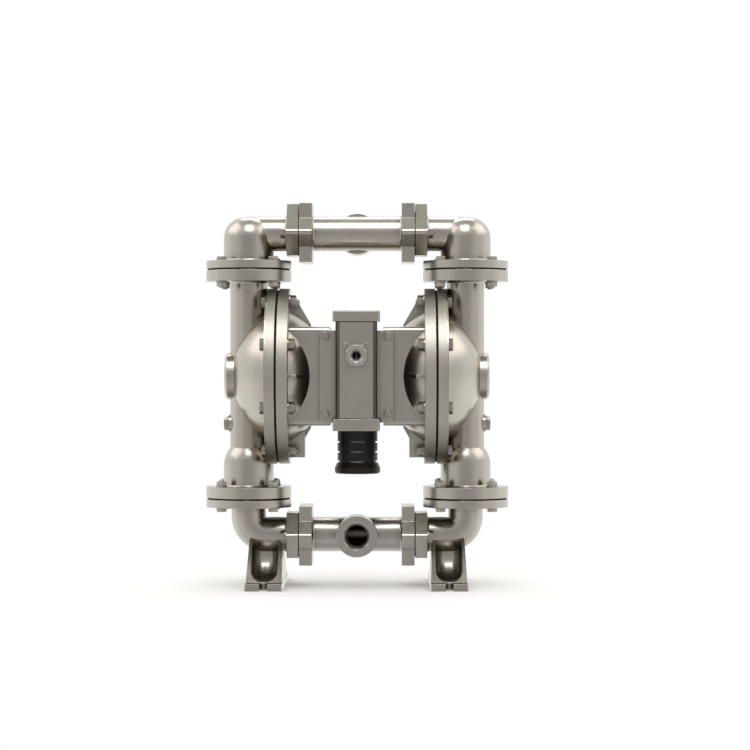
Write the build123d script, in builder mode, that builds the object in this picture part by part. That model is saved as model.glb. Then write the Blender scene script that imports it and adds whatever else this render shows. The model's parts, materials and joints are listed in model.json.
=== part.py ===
from build123d import *
import math
import os

# Air operated double-diaphragm pump, in millimetres.
# The origin is on the floor under the middle of the pump, X runs along the diaphragm rod,
# Y to the rear and Z up. Right-hand pieces are drawn, the left-hand ones mirror them.

# Layout
rod_z = 375.3                # height of the diaphragm rod
column_x = 195.0             # each fluid column, from the middle
suction_z = 91.0             # axis of the suction manifold
discharge_z = 631.3          # axis of the discharge manifold
lower_joint_z = 156.2        # middle of the suction valve joint
upper_joint_z = 566.6        # middle of the discharge valve joint
manifold_joint_x = 103.5     # middle of each manifold joint
diaphragm_x = 141.3          # middle plane of each diaphragm

# Cast walls and pipes
cast_wall = 6.0
pipe_od = 62.0
riser_od = 67.0
riser_bore = 50.0
cage_od = 90.0
shoulder_z = 215.0           # where the suction ball chamber starts to narrow
shoulder_rise = 32.0
dome_round = 38.0            # rounding of the discharge elbow's top corner
elbow_top_drop = 1.0         # top of the discharge elbow below the pipe's top line
bend_r = 32.0                # centreline radius of the suction elbow's bend
hub_fillet = 4.0             # cast fillet where a pipe meets a flange
overlap = 1.0                # how far two shapes of one casting run into each other

# Clearances and thread ends that all fasteners share
hole_gap = 0.5               # radial clearance of a bolt in a through hole
snug_gap = 0.1               # radial clearance of a thread, or of a piece that stays put
thread_stub = 2.0            # end of a bolt that shows past its nut
tap_gap = 1.0                # bottom of a tapped hole past the end of its bolt

# Round flanges of the four valve joints
round_flange_od = 153.0
chamber_flange_t = 20.0
elbow_flange_t = 14.0
round_gasket_t = 3.0
round_gasket_inset = 3.0
round_edge = 11.5            # bolt centres in from the rim
round_bolts = 4
round_bolt_d = 10.0
round_bolt_af = 17.0
round_head_t = 6.8
round_nut_t = 8.2
round_washer_t = 2.0
round_washer_od = 20.0

# Diamond flanges of the manifold joints
manifold_gasket_t = 1.6
elbow_diamond_t = 21.2
manifold_diamond_t = 22.7
diamond_half = 76.0          # half diagonal of the square on its corner
diamond_tip_r = 7.0
diamond_cut = 40.2           # flat top and bottom, from the axis
ear_half_height = 52.6
ear_half_width = 50.0
manifold_gasket_inset = 3.0
manifold_bolt_y = 57.0
manifold_bolt_d = 12.0
manifold_bolt_af = 19.0
manifold_head_t = 7.5
manifold_washer_t = 2.5
manifold_washer_od = 24.0
manifold_thread_depth = 16.0

# Ports
port_boss_od = 73.0
port_face_y = 70.0
port_thread_d = 44.9
port_thread_depth = 26.0
port_entry_d = 48.4
port_bore_d = 38.0

# Diaphragm flanges and domes
big_flange_od = 315.0
outer_flange_t = 18.0
inner_flange_t = 18.9
dome_r = 135.0
outer_dome_x = 91.4          # centre of the outer dome's sphere
inner_dome_x = 185.7         # centre of the inner dome's sphere
big_edge = 13.5              # bolt centres in from the rim
big_bolts = 8
big_bolt_d = 12.0
big_bolt_af = 19.0
big_head_t = 7.7
big_nut_t = 10.4
big_washer_t = 2.6
big_washer_od = 24.0
side_boss_od = 84.0
side_boss_x = 236.7
side_boss_chamfer = 4.0
plug_z = 291.0
plug_af = 22.0
plug_head_t = 9.0
plug_thread_d = 20.0
plug_seat_od = 32.0
plug_seat_x = 230.5

# Inner chamber, its box bracket, ribs and lug
box_size = 175.0
box_end_x = 47.3
box_round = 8.0
box_wall = 8.0
box_end_wall = 12.0
box_pocket_round = 5.0
valve_boss_d = 20.0
tie_boss_d = 28.0
rib_t = 6.0
rib_flange_r = 131.0
rib_outer_x = 105.0
rib_tip_x = 83.0
rib_tip_r = 92.7
lug_x = 93.6
lug_bottom_z = 230.0
lug_width = 44.0

# Centre body
center_bottom_z = 300.0
center_top_z = 450.0
center_rear_y = 80.0
center_bevel = 10.0

# Air passages in the castings
exhaust_z = 330.0
exhaust_d = 22.0
feed_z = (355.0, 387.0)      # to the left and to the right air chamber
feed_y = 60.0                # where a passage turns towards its chamber
feed_d = 14.0
feed_boss_d = 24.0
feed_boss_x = 85.0
rod_bore_gap = 1.0           # radial clearance of the rod outside its bushings

# Rod, plates and diaphragms
stroke = 20.0
rod_d = 24.0
stud_d = 16.0
stud_inset = 7.3             # stud end inside the outer plate's nut
rod_end_chamfer = 1.5
bushing_od = 32.0
bushing_length = 38.0
bushing_gap = 0.05           # radial clearance of the rod in its bushings
seal_od = 34.0
seal_t = 7.0
rod_boss_od = 50.0
rod_boss_x = 74.0
diaphragm_t = 4.0
diaphragm_inset = 3.0
plate_r = 85.0
inner_plate_t = 8.0
inner_hub_r = 26.0
inner_hub_x = 118.0
outer_plate_t = 6.0
outer_plate_crown = 16.0
outer_hex_af = 32.0
outer_hex_t = 9.0
roll_gap = 4.0               # flat left between the rolling fold and the plate or the dome
roll_height = 9.0

# Pilot valve
pilot_rise = 45.0            # pilot axis above the rod
pilot_sleeve_od = 26.0
pilot_spool_d = 16.0
pilot_groove_d = 11.0
pilot_groove_w = 8.0
pilot_end_gap = 2.0          # spool end inside the sleeve's end at full travel
pilot_travel = 5.0
plunger_round = 1.5
plunger_d = 8.0
plunger_gap = 0.2            # left between a plunger and its plate at the end of the stroke
guide_od = 18.0
guide_x = 84.0
running_gap = 0.04           # radial clearance of a sliding spool or plunger

# Tie bolts
tie_r = 48.0
tie_d = 10.0
tie_head_d = 16.0
tie_head_gap = 1.0           # radial room for the head in its counterbore
tie_head_t = 10.0
tie_socket_af = 8.0
tie_seat_x = 58.0
tie_depth_x = 24.0

# Balls and seats
ball_d = 50.0
ball_lift = 12.0
ball_height = 10.0           # ball centre above the seat's top face, at rest
seat_gap = 0.3
seat_od = 90.0
seat_bore = 38.0
seat_depth = 5.0             # how far a seat enters each flange
seat_clearance = 0.3
guide_gap = 1.3
cage_ribs = 4
cage_rib_w = 6.2
cage_floor = 9.0             # foot of the guide ribs below the ball's centre
stop_gap = 0.4               # left between a lifted ball and its stop
stop_r = 12.0
stop_share = 0.72            # height of the stops above a lifted ball's centre, in ball radii

# Feet
foot_x = 163.0
foot_width = 66.0
foot_t = 12.3
foot_half_length = 130.0
foot_round = 3.0
slot_w = 14.0
slot_depth = 24.0
pedestal_base_w = 64.0
pedestal_top_w = 58.0
pedestal_base_half = 108.0
pedestal_top_half = 30.0
pedestal_top_z = 84.0
scoop_w = 47.0
scoop_floor_z = 14.0
scoop_r = 46.0
scoop_round = 19.0
web_t = 12.0

# Air valve
valve_face_y = 87.5          # front face of the boxes
valve_gasket_t = 1.5
plate_t = 10.0
plate_half_x = 65.0
plate_bottom_z = 294.0
plate_top_z = 456.0
plate_round = 6.0
valve_w = 72.8
valve_front_y = 138.0
valve_bottom_z = 302.0
valve_top_z = 470.4
valve_round = 7.6
valve_axis_y = 117.0
sleeve_od = 30.0
sleeve_id = 24.0
sleeve_port_d = 14.0
land_length = 16.0
waist_d = 15.0
spool_travel = 12.0
bumper_t = 5.0
rest_gap = 0.2              # left at each end of a stroke that ends on a stop
bumper_d = 20.0
cap_w = 82.5
cap_depth = 48.0
top_cap_t = 18.6
bottom_cap_t = 21.0
cap_gasket_t = 1.0
cap_round = 4.0
cap_bevel = 1.5
cap_relief = 1.0             # room that the mounting plate leaves round the bottom cap
cap_screw_x = 29.0
cap_screw_y = 15.0
cap_screw_d = 6.0
cap_screw_head_d = 10.0
cap_screw_head_t = 6.0
cap_screw_sink = 0.5         # head below the cap's face
cap_screw_socket_af = 5.0
cap_screw_depth = 16.0
valve_bolt_x = 55.3
valve_bolt_z = (309.3, 446.0)
valve_bolt_d = 8.0
valve_bolt_af = 13.0
valve_bolt_head_t = 5.3
valve_bolt_depth = 16.0

# Air inlet
inlet_z = 411.5
inlet_pad = 37.0
inlet_lobe = 18.0
inlet_lobe_r = 5.0
inlet_pad_t = 4.0
inlet_ring_od = 38.0
inlet_ring_t = 4.5
inlet_thread_d = 18.6
inlet_thread_depth = 12.0    # from the ring's face into the valve body
inlet_entry_d = 23.0
inlet_screw_d = 4.0
inlet_screw_head_d = 7.0
inlet_screw_head_t = 2.6
inlet_socket_af = 2.5
inlet_screw_depth = 8.0

# Muffler
muffler_y = 45.0
muffler_od = 72.7
muffler_base_od = 82.4
muffler_wall = 3.5
muffler_bottom_z = 198.5
muffler_flare_z = 219.5
muffler_rim_z = 209.0
muffler_top_z = 292.0
muffler_round = 4.0
slot_rows = (255.7, 237.9, 220.3)
muffler_slot_h = 3.4
muffler_slot_deg = 52.0
muffler_columns = 4
groove_w = 3.0
groove_depth = 1.6
element_od = 56.0
element_id = 36.0
element_seat = 1.0           # floor inside the shell above its wall thickness
nipple_d = 30.0
nipple_depth = 14.0
nipple_gap = 1.0


# Values that follow from the ones above
lower_elbow_z = lower_joint_z - round_gasket_t / 2
lower_chamber_z = lower_joint_z + round_gasket_t / 2
upper_chamber_z = upper_joint_z - round_gasket_t / 2
upper_elbow_z = upper_joint_z + round_gasket_t / 2
round_hole_d = round_bolt_d + 2 * hole_gap
big_hole_d = big_bolt_d + 2 * hole_gap
manifold_hole_d = manifold_bolt_d + 2 * hole_gap
valve_hole_d = valve_bolt_d + 2 * hole_gap
cap_hole_d = cap_screw_d + 2 * hole_gap
cage_bore = cage_od - 2 * cast_wall
pipe_bore = pipe_od - 2 * cast_wall
ball_r = ball_d / 2
round_pcd = round_flange_od - 2 * round_edge
big_pcd = big_flange_od - 2 * big_edge
seat_recess_d = seat_od + 2 * seat_clearance
seat_half = round_gasket_t / 2 + seat_depth
lower_ball_z = lower_joint_z + seat_half + ball_height
upper_ball_z = upper_joint_z + seat_half + ball_height
elbow_face_x = manifold_joint_x + manifold_gasket_t / 2
manifold_face_x = manifold_joint_x - manifold_gasket_t / 2
wet_face_x = diaphragm_x + diaphragm_t / 2
dry_face_x = diaphragm_x - diaphragm_t / 2
inner_flange_x = dry_face_x - inner_flange_t
plate_face_x = dry_face_x - inner_plate_t
pilot_z = rod_z + pilot_rise
plunger_tip_x = plate_face_x - (stroke - pilot_travel) - plunger_gap
crown_x = wet_face_x + outer_plate_crown
stud_reach = crown_x + outer_hex_t - stud_inset
rod_axis = Axis((0, 0, rod_z), (1, 0, 0))


# Planes and simple solids that the sections share
def across(x, y, z):
    """Plane facing +X, its own first axis along Y."""
    return Plane(origin=(x, y, z), x_dir=(0, 1, 0), z_dir=(1, 0, 0))


def inward(x, y, z):
    """Plane facing -X."""
    return Plane(origin=(x, y, z), x_dir=(0, 1, 0), z_dir=(-1, 0, 0))


def upright(x, y, z):
    """Plane facing +Z."""
    return Plane(origin=(x, y, z), x_dir=(1, 0, 0), z_dir=(0, 0, 1))


def downward(x, y, z):
    """Plane facing -Z."""
    return Plane(origin=(x, y, z), x_dir=(1, 0, 0), z_dir=(0, 0, -1))


def forward(x, y, z):
    """Plane facing the front, -Y."""
    return Plane(origin=(x, y, z), x_dir=(1, 0, 0), z_dir=(0, -1, 0))


def backward(x, y, z):
    """Plane facing the rear, +Y."""
    return Plane(origin=(x, y, z), x_dir=(1, 0, 0), z_dir=(0, 1, 0))


def turned(plane):
    """The same plane facing the other way."""
    return Plane(origin=plane.origin, x_dir=plane.x_dir, z_dir=-plane.z_dir)


def disc(plane, diameter, length, mode=Mode.ADD):
    """Round solid from a plane along its normal."""
    with BuildSketch(plane) as outline:
        Circle(diameter / 2)
    extrude(outline.sketch, amount=length, mode=mode)


def slab(plane, width, height, length, radius=0.0, mode=Mode.ADD):
    """Rectangular solid, its long edges rounded if a radius is given."""
    with BuildSketch(plane) as outline:
        if radius > 0:
            RectangleRounded(width, height, radius)
        else:
            Rectangle(width, height)
    extrude(outline.sketch, amount=length, mode=mode)


def hexagon(plane, across_flats, length, mode=Mode.ADD):
    """Hexagonal solid measured across its flats, with a corner on the plane's second axis."""
    with BuildSketch(plane) as outline:
        RegularPolygon(across_flats / 2, 6, major_radius=False, rotation=30)
    extrude(outline.sketch, amount=length, mode=mode)


def bolt_holes(plane, diameter, pcd, count, length):
    """Ring of holes in the current part, the first one half a step round."""
    with BuildSketch(plane) as outline:
        with PolarLocations(pcd / 2, count, start_angle=180.0 / count):
            Circle(diameter / 2)
    extrude(outline.sketch, amount=length, mode=Mode.SUBTRACT)


def ring_planes(plane, pcd, count):
    """Planes that stand on the holes of such a ring and face its normal."""
    planes = []
    for i in range(count):
        angle = 2 * math.pi * (i + 0.5) / count
        at = plane.from_local_coords((pcd / 2 * math.cos(angle), pcd / 2 * math.sin(angle), 0))
        planes.append(Plane(origin=at, x_dir=plane.x_dir, z_dir=plane.z_dir))
    return planes


# Fasteners, each drawn along +Z with its seat on the XY plane
def hex_head(across_flats, height):
    """Hexagon whose outer corners are bevelled round."""
    bevel = across_flats * (1 / math.cos(math.pi / 6) - 1) / 2
    with BuildPart() as blank:
        disc(Plane.XY, across_flats + 2 * bevel, height)
        chamfer(blank.faces().sort_by(Axis.Z)[-1].edges(), bevel * 0.6, bevel * 1.2)
    with BuildPart() as head:
        hexagon(Plane.XY, across_flats, height)
        add(blank.part, mode=Mode.INTERSECT)
    return head.part


def hex_bolt(diameter, across_flats, head_t, length):
    with BuildPart() as bolt:
        add(hex_head(across_flats, head_t))
        disc(Plane.XY, diameter, -length)
        chamfer(bolt.faces().sort_by(Axis.Z)[0].edges(), diameter / 12)
    return bolt.part


def hex_nut(diameter, across_flats, height):
    with BuildPart() as nut:
        add(hex_head(across_flats, height))
        disc(Plane.XY, diameter + 2 * snug_gap, height, mode=Mode.SUBTRACT)
    return nut.part


def washer(diameter, outer_d, thickness):
    with BuildPart() as ring:
        disc(Plane.XY, outer_d, thickness)
        disc(Plane.XY, diameter + 2 * snug_gap, thickness, mode=Mode.SUBTRACT)
    return ring.part


def socket_screw(diameter, head_d, head_t, socket_af, length):
    with BuildPart() as screw:
        disc(Plane.XY, head_d, head_t)
        chamfer(screw.faces().sort_by(Axis.Z)[-1].edges(), head_t / 12)
        disc(Plane.XY, diameter, -length)
        hexagon(Plane.XY.offset(head_t), socket_af, -head_t / 2, mode=Mode.SUBTRACT)
    return screw.part


def copies(fastener, planes):
    """One copy of a fastener on each plane."""
    with BuildPart() as group:
        with Locations(*[plane.location for plane in planes]):
            add(fastener)
    return group.part


def both_sides(right):
    """A right-hand group with its mirror image."""
    with BuildPart() as group:
        add(right)
        mirror(right, about=Plane.YZ)
    return group.part


def write(part, name):
    part.label = name
    export_step(part, f"parts/{name}.step")


def write_pair(right, name):
    """Write a right-hand piece and its left-hand mirror image."""
    with BuildPart() as left:
        mirror(right, about=Plane.YZ)
    write(right, name + "_right")
    write(left.part, name + "_left")


# Shapes that several castings share
def column_half(x, profile):
    """Solid of revolution round an upright axis, from its half section as (radius, z) edges."""
    with BuildSketch(forward(x, 0, 0)) as half:
        with BuildLine():
            profile()
        make_face()
    revolve(half.sketch, axis=Axis((x, 0, 0), (0, 0, 1)))


def ball_chamber(chamber_r, riser_r):
    """Suction ball chamber that narrows into the riser, as a solid core or body."""
    step = chamber_r - riser_r
    turn = math.degrees(2 * math.atan2(step, shoulder_rise))

    def profile():
        wall = Line((chamber_r, lower_chamber_z), (chamber_r, shoulder_z))
        shoulder = JernArc(wall @ 1, (0, 1), (step ** 2 + shoulder_rise ** 2) / (2 * step), turn)
        Polyline(shoulder @ 1, (riser_r, upper_chamber_z), (0, upper_chamber_z),
                 (0, lower_chamber_z), wall @ 0)

    with BuildPart() as column:
        column_half(column_x, profile)
    return column.part


def discharge_dome(inset):
    """Upright leg of a discharge elbow with its rounded top, shrunk by the inset."""
    leg_r = cage_od / 2 - inset
    top_z = discharge_z + pipe_od / 2 - elbow_top_drop - inset
    corner = dome_round - inset

    def profile():
        wall = Line((leg_r, upper_elbow_z), (leg_r, top_z - corner))
        crown = JernArc(wall @ 1, (0, 1), corner, 90)
        Polyline(crown @ 1, (0, top_z), (0, upper_elbow_z), wall @ 0)

    with BuildPart() as leg:
        column_half(column_x, profile)
    return leg.part


def dome_cap(x, radius, cut_x, side):
    """Cap of a sphere centred on the rod axis at x, from an upright plane towards one side."""
    turn = math.acos(side * (cut_x - x) / radius)
    with BuildPart() as ball_cap:
        with BuildSketch(forward(0, 0, rod_z)) as half:
            with BuildLine():
                rim = (cut_x, radius * math.sin(turn))
                middle = (x + side * radius * math.cos(turn / 2), radius * math.sin(turn / 2))
                apex = (x + side * radius, 0)
                ThreePointArc(rim, middle, apex)
                Polyline(apex, (cut_x, 0), rim)
            make_face()
        revolve(half.sketch, axis=Axis((0, 0, rod_z), (1, 0, 0)))
    return ball_cap.part


def root_fillet(face, diameter, size=hub_fillet):
    """Cast fillet round a pipe that stands on a flat face."""
    pipe_r = diameter / 2
    middle = size * (1 - math.sqrt(0.5))
    with BuildSketch(Plane(origin=face.origin, x_dir=face.x_dir, z_dir=-face.y_dir)) as corner:
        with BuildLine():
            ThreePointArc((pipe_r + size, 0), (pipe_r + middle, middle), (pipe_r, size))
            Polyline((pipe_r, size), (pipe_r - overlap, size), (pipe_r - overlap, 0),
                     (pipe_r + size, 0))
        make_face()
    revolve(corner.sketch, axis=Axis(face.origin, face.z_dir))


def diamond(plane, length, upper=diamond_cut, lower=diamond_cut, inset=0.0, mode=Mode.ADD):
    """Square on its corner with blunt tips to the front and rear and flat top and bottom."""
    side = (diamond_half - inset) * math.sqrt(2)
    with BuildSketch(plane) as outline:
        Rectangle(side, side, rotation=45)
        tips = outline.vertices().sort_by(Axis.X)
        fillet([tips[0], tips[-1]], diamond_tip_r)
        with Locations((0, (upper - lower) / 2)):
            Rectangle(2 * diamond_half, upper + lower - 2 * inset, mode=Mode.INTERSECT)
    extrude(outline.sketch, amount=length, mode=mode)


def manifold_holes(plane, diameter, length):
    """Front and rear bolt holes of a manifold joint."""
    with BuildSketch(plane) as outline:
        with Locations((-manifold_bolt_y, 0), (manifold_bolt_y, 0)):
            Circle(diameter / 2)
    extrude(outline.sketch, amount=length, mode=Mode.SUBTRACT)


def cage(ball_z):
    """Guide ribs of a ball, with the stop that it meets when it is lifted."""
    floor_z = ball_z - cage_floor
    stop_z = ball_z + ball_lift + stop_gap
    rib_top_z = stop_z + stop_share * ball_r
    channel_r = ball_r + guide_gap
    with BuildPart() as ribs:
        with BuildSketch(upright(column_x, 0, floor_z)) as cross:
            with PolarLocations((cage_bore / 2 + stop_r) / 2, cage_ribs, start_angle=45):
                Rectangle(cage_bore / 2 - stop_r + 2 * overlap, cage_rib_w)
        extrude(cross.sketch, amount=rib_top_z - floor_z)
        disc(upright(column_x, 0, floor_z), 2 * channel_r, stop_z - floor_z, mode=Mode.SUBTRACT)
        with Locations((column_x, 0, stop_z)):
            Sphere(channel_r, mode=Mode.SUBTRACT)
    return ribs.part


os.makedirs("parts", exist_ok=True)

# Outer chamber: dome, riser with the suction ball chamber, three flanges and a side boss
with BuildPart() as side_boss:
    disc(across(column_x, 0, rod_z), side_boss_od, side_boss_x - column_x)
    chamfer(side_boss.faces().sort_by(Axis.X)[-1].edges(), side_boss_chamfer)

fluid_dome = dome_cap(outer_dome_x, dome_r, wet_face_x, 1)
fluid_cavity = dome_cap(outer_dome_x, dome_r - cast_wall, wet_face_x, 1)

with BuildPart() as outer_chamber:
    add(fluid_dome)
    disc(across(wet_face_x, 0, rod_z), big_flange_od, outer_flange_t)
    add(ball_chamber(cage_od / 2, riser_od / 2))
    disc(upright(column_x, 0, lower_chamber_z), round_flange_od, chamber_flange_t)
    disc(downward(column_x, 0, upper_chamber_z), round_flange_od, chamber_flange_t)
    root_fillet(upright(column_x, 0, lower_chamber_z + chamber_flange_t), cage_od)
    root_fillet(downward(column_x, 0, upper_chamber_z - chamber_flange_t), riser_od)
    add(side_boss.part)
    disc(across(column_x, 0, plug_z), plug_seat_od, plug_seat_x - column_x)
    add(fluid_cavity, mode=Mode.SUBTRACT)
    add(ball_chamber(cage_bore / 2, riser_bore / 2), mode=Mode.SUBTRACT)
    add(cage(lower_ball_z))
    disc(upright(column_x, 0, lower_chamber_z), seat_recess_d, seat_depth, mode=Mode.SUBTRACT)
    disc(downward(column_x, 0, upper_chamber_z), seat_recess_d, seat_depth, mode=Mode.SUBTRACT)
    for face in (upright(column_x, 0, lower_chamber_z), downward(column_x, 0, upper_chamber_z)):
        bolt_holes(face, round_hole_d, round_pcd, round_bolts, chamber_flange_t)
    bolt_holes(across(wet_face_x, 0, rod_z), big_hole_d, big_pcd, big_bolts, outer_flange_t)
    disc(across(column_x, 0, plug_z), plug_thread_d, plug_seat_x - column_x, mode=Mode.SUBTRACT)
write_pair(outer_chamber.part, "outer_chamber")

plug_reach = plug_seat_x - column_x - riser_bore / 2 - tap_gap
plug = hex_bolt(plug_thread_d - 2 * snug_gap, plug_af, plug_head_t, plug_reach)
write(both_sides(copies(plug, [across(plug_seat_x, 0, plug_z)])), "chamber_plugs")

# Suction elbow with its cast foot
elbow_bend = ((column_x, lower_elbow_z), (column_x, suction_z), (elbow_face_x, suction_z))


def elbow_tube(diameter):
    """Round bar along the suction elbow's bent centreline."""
    with BuildPart() as tube:
        with BuildLine(Plane.XZ):
            FilletPolyline(*elbow_bend, radius=bend_r)
        with BuildSketch(downward(column_x, 0, lower_elbow_z)):
            Circle(diameter / 2)
        sweep()
    return tube.part


with BuildPart() as scoop:
    with BuildSketch(across(foot_x - scoop_w / 2, 0, 0)):
        with BuildLine():
            web = Line((-web_t / 2, suction_z), (-web_t / 2, scoop_floor_z + scoop_r))
            sweep_arc = JernArc(web @ 1, (0, -1), scoop_r, -90)
            Polyline(sweep_arc @ 1, (-2 * foot_half_length, scoop_floor_z),
                     (-2 * foot_half_length, suction_z), web @ 0)
        make_face()
    extrude(amount=scoop_w)
    fillet(scoop.faces().filter_by(Axis.X).edges(), scoop_round)

with BuildPart() as foot:
    with BuildSketch(upright(foot_x, 0, foot_t - overlap)):
        Rectangle(pedestal_base_w, 2 * pedestal_base_half)
    with BuildSketch(upright(foot_x, 0, pedestal_top_z)):
        Rectangle(pedestal_top_w, 2 * pedestal_top_half)
    loft()
    add(scoop.part, mode=Mode.SUBTRACT)
    mirror(scoop.part, about=Plane.XZ, mode=Mode.SUBTRACT)
    slab(upright(foot_x, 0, 0), foot_width, 2 * foot_half_length, foot_t, radius=foot_round)
    with BuildSketch(upright(foot_x, 0, 0)) as slots:
        with Locations((0, foot_half_length), (0, -foot_half_length)):
            SlotOverall(2 * slot_depth, slot_w, rotation=90)
    extrude(slots.sketch, amount=foot_t, mode=Mode.SUBTRACT)

with BuildPart() as suction_elbow:
    add(foot.part)
    add(elbow_tube(pipe_od))
    disc(downward(column_x, 0, lower_elbow_z), round_flange_od, elbow_flange_t)
    diamond(across(elbow_face_x, 0, suction_z), elbow_diamond_t)
    root_fillet(downward(column_x, 0, lower_elbow_z - elbow_flange_t), pipe_od)
    root_fillet(across(elbow_face_x + elbow_diamond_t, 0, suction_z), pipe_od)
    add(elbow_tube(pipe_bore), mode=Mode.SUBTRACT)
    disc(downward(column_x, 0, lower_elbow_z), seat_recess_d, seat_depth, mode=Mode.SUBTRACT)
    joint = downward(column_x, 0, lower_elbow_z)
    bolt_holes(joint, round_hole_d, round_pcd, round_bolts, elbow_flange_t)
    manifold_holes(across(elbow_face_x, 0, suction_z), manifold_hole_d, elbow_diamond_t)
write_pair(suction_elbow.part, "suction_elbow")

# Discharge elbow with the domed chamber of the discharge ball
with BuildPart() as discharge_elbow:
    add(discharge_dome(0.0))
    disc(inward(column_x, 0, discharge_z), pipe_od, column_x - elbow_face_x)
    disc(upright(column_x, 0, upper_elbow_z), round_flange_od, elbow_flange_t)
    diamond(across(elbow_face_x, 0, discharge_z), elbow_diamond_t, upper=ear_half_height)
    root_fillet(upright(column_x, 0, upper_elbow_z + elbow_flange_t), cage_od)
    root_fillet(across(elbow_face_x + elbow_diamond_t, 0, discharge_z), pipe_od)
    add(discharge_dome(cast_wall), mode=Mode.SUBTRACT)
    disc(inward(column_x, 0, discharge_z), pipe_bore, column_x - elbow_face_x, mode=Mode.SUBTRACT)
    add(cage(upper_ball_z))
    disc(upright(column_x, 0, upper_elbow_z), seat_recess_d, seat_depth, mode=Mode.SUBTRACT)
    joint = upright(column_x, 0, upper_elbow_z)
    bolt_holes(joint, round_hole_d, round_pcd, round_bolts, elbow_flange_t)
    manifold_holes(across(elbow_face_x, 0, discharge_z), manifold_hole_d, elbow_diamond_t)
write_pair(discharge_elbow.part, "discharge_elbow")


# Manifolds: a pipe with a threaded port in the middle and an eared diamond flange at each end
def manifold(z, port_face):
    """Manifold on the height z with its port on the given plane."""
    with BuildPart() as body:
        disc(across(-manifold_face_x, 0, z), pipe_od, 2 * manifold_face_x)
        disc(port_face, port_boss_od, -port_face_y)
        for joint in (across(manifold_face_x, 0, z), inward(-manifold_face_x, 0, z)):
            diamond(joint, -manifold_diamond_t)
            slab(joint, 2 * ear_half_width, 2 * ear_half_height, -manifold_diamond_t)
            root_fillet(turned(joint.offset(-manifold_diamond_t)), pipe_od)
            manifold_holes(joint, manifold_bolt_d + 2 * snug_gap, -manifold_thread_depth)
        disc(across(-manifold_face_x, 0, z), pipe_bore, 2 * manifold_face_x, mode=Mode.SUBTRACT)
        disc(port_face, port_bore_d, -port_face_y, mode=Mode.SUBTRACT)
        disc(port_face, port_thread_d, -port_thread_depth, mode=Mode.SUBTRACT)
        port_rim = body.edges().filter_by(GeomType.CIRCLE).sort_by_distance(port_face.origin)[0]
        chamfer(port_rim, (port_entry_d - port_thread_d) / 2)
    return body.part


write(manifold(suction_z, forward(0, -port_face_y, suction_z)), "suction_manifold")
write(manifold(discharge_z, backward(0, port_face_y, discharge_z)), "discharge_manifold")

with BuildPart() as manifold_gasket_pair:
    for joint_z in (suction_z, discharge_z):
        seal_face = across(manifold_face_x, 0, joint_z)
        diamond(seal_face, manifold_gasket_t, inset=manifold_gasket_inset)
        disc(seal_face, pipe_bore, manifold_gasket_t, mode=Mode.SUBTRACT)
        manifold_holes(seal_face, manifold_hole_d, manifold_gasket_t)
write(both_sides(manifold_gasket_pair.part), "manifold_gaskets")

manifold_head_x = elbow_face_x + elbow_diamond_t + manifold_washer_t
manifold_grip = manifold_washer_t + elbow_diamond_t + manifold_gasket_t
manifold_shank = manifold_grip + manifold_thread_depth - tap_gap
manifold_bolt = hex_bolt(manifold_bolt_d, manifold_bolt_af, manifold_head_t, manifold_shank)
manifold_washer = washer(manifold_bolt_d, manifold_washer_od, manifold_washer_t)
manifold_heads = []
for joint_z in (suction_z, discharge_z):
    for bolt_y in (-manifold_bolt_y, manifold_bolt_y):
        manifold_heads.append(across(manifold_head_x, bolt_y, joint_z))
manifold_seats = [head.offset(-manifold_washer_t) for head in manifold_heads]
write(both_sides(copies(manifold_bolt, manifold_heads)), "manifold_bolts")
write(both_sides(copies(manifold_washer, manifold_seats)), "manifold_washers")


# Valve joints: seats, balls, gaskets, bolts, nuts and washers
def seat(joint_z, ball_z):
    with BuildPart() as ring:
        disc(upright(column_x, 0, joint_z - seat_half), seat_od, 2 * seat_half)
        disc(upright(column_x, 0, joint_z - seat_half), seat_bore, 2 * seat_half, mode=Mode.SUBTRACT)
        with Locations((column_x, 0, ball_z)):
            Sphere(ball_r + seat_gap, mode=Mode.SUBTRACT)
    return ring.part


def valve_ball(z):
    with BuildPart() as ball:
        with Locations((column_x, 0, z)):
            Sphere(ball_r)
    return ball.part


def round_gasket(joint_z):
    face = upright(column_x, 0, joint_z - round_gasket_t / 2)
    with BuildPart() as ring:
        disc(face, round_flange_od - 2 * round_gasket_inset, round_gasket_t)
        disc(face, seat_recess_d, round_gasket_t, mode=Mode.SUBTRACT)
        bolt_holes(face, round_hole_d, round_pcd, round_bolts, round_gasket_t)
    return ring.part


valve_joints = (("suction", lower_joint_z, lower_ball_z), ("discharge", upper_joint_z, upper_ball_z))
for name, joint_z, ball_z in valve_joints:
    write_pair(seat(joint_z, ball_z), name + "_seat")
    write_pair(valve_ball(ball_z), name + "_ball")
    write_pair(round_gasket(joint_z), name + "_gasket")

round_grip = elbow_flange_t + round_gasket_t + chamber_flange_t
round_shank = round_grip + round_washer_t + round_nut_t + thread_stub
round_bolt = hex_bolt(round_bolt_d, round_bolt_af, round_head_t, round_shank)
round_nut = hex_nut(round_bolt_d, round_bolt_af, round_nut_t)
round_washer = washer(round_bolt_d, round_washer_od, round_washer_t)
lower_head = downward(column_x, 0, lower_elbow_z - elbow_flange_t)
upper_head = upright(column_x, 0, upper_elbow_z + elbow_flange_t)
round_heads = ring_planes(lower_head, round_pcd, round_bolts)
round_heads += ring_planes(upper_head, round_pcd, round_bolts)
round_fars = [turned(head.offset(-round_grip)) for head in round_heads]
write(both_sides(copies(round_bolt, round_heads)), "elbow_bolts")
write(both_sides(copies(round_washer, round_fars)), "elbow_washers")
write(both_sides(copies(round_nut, [far.offset(round_washer_t) for far in round_fars])), "elbow_nuts")

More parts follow.
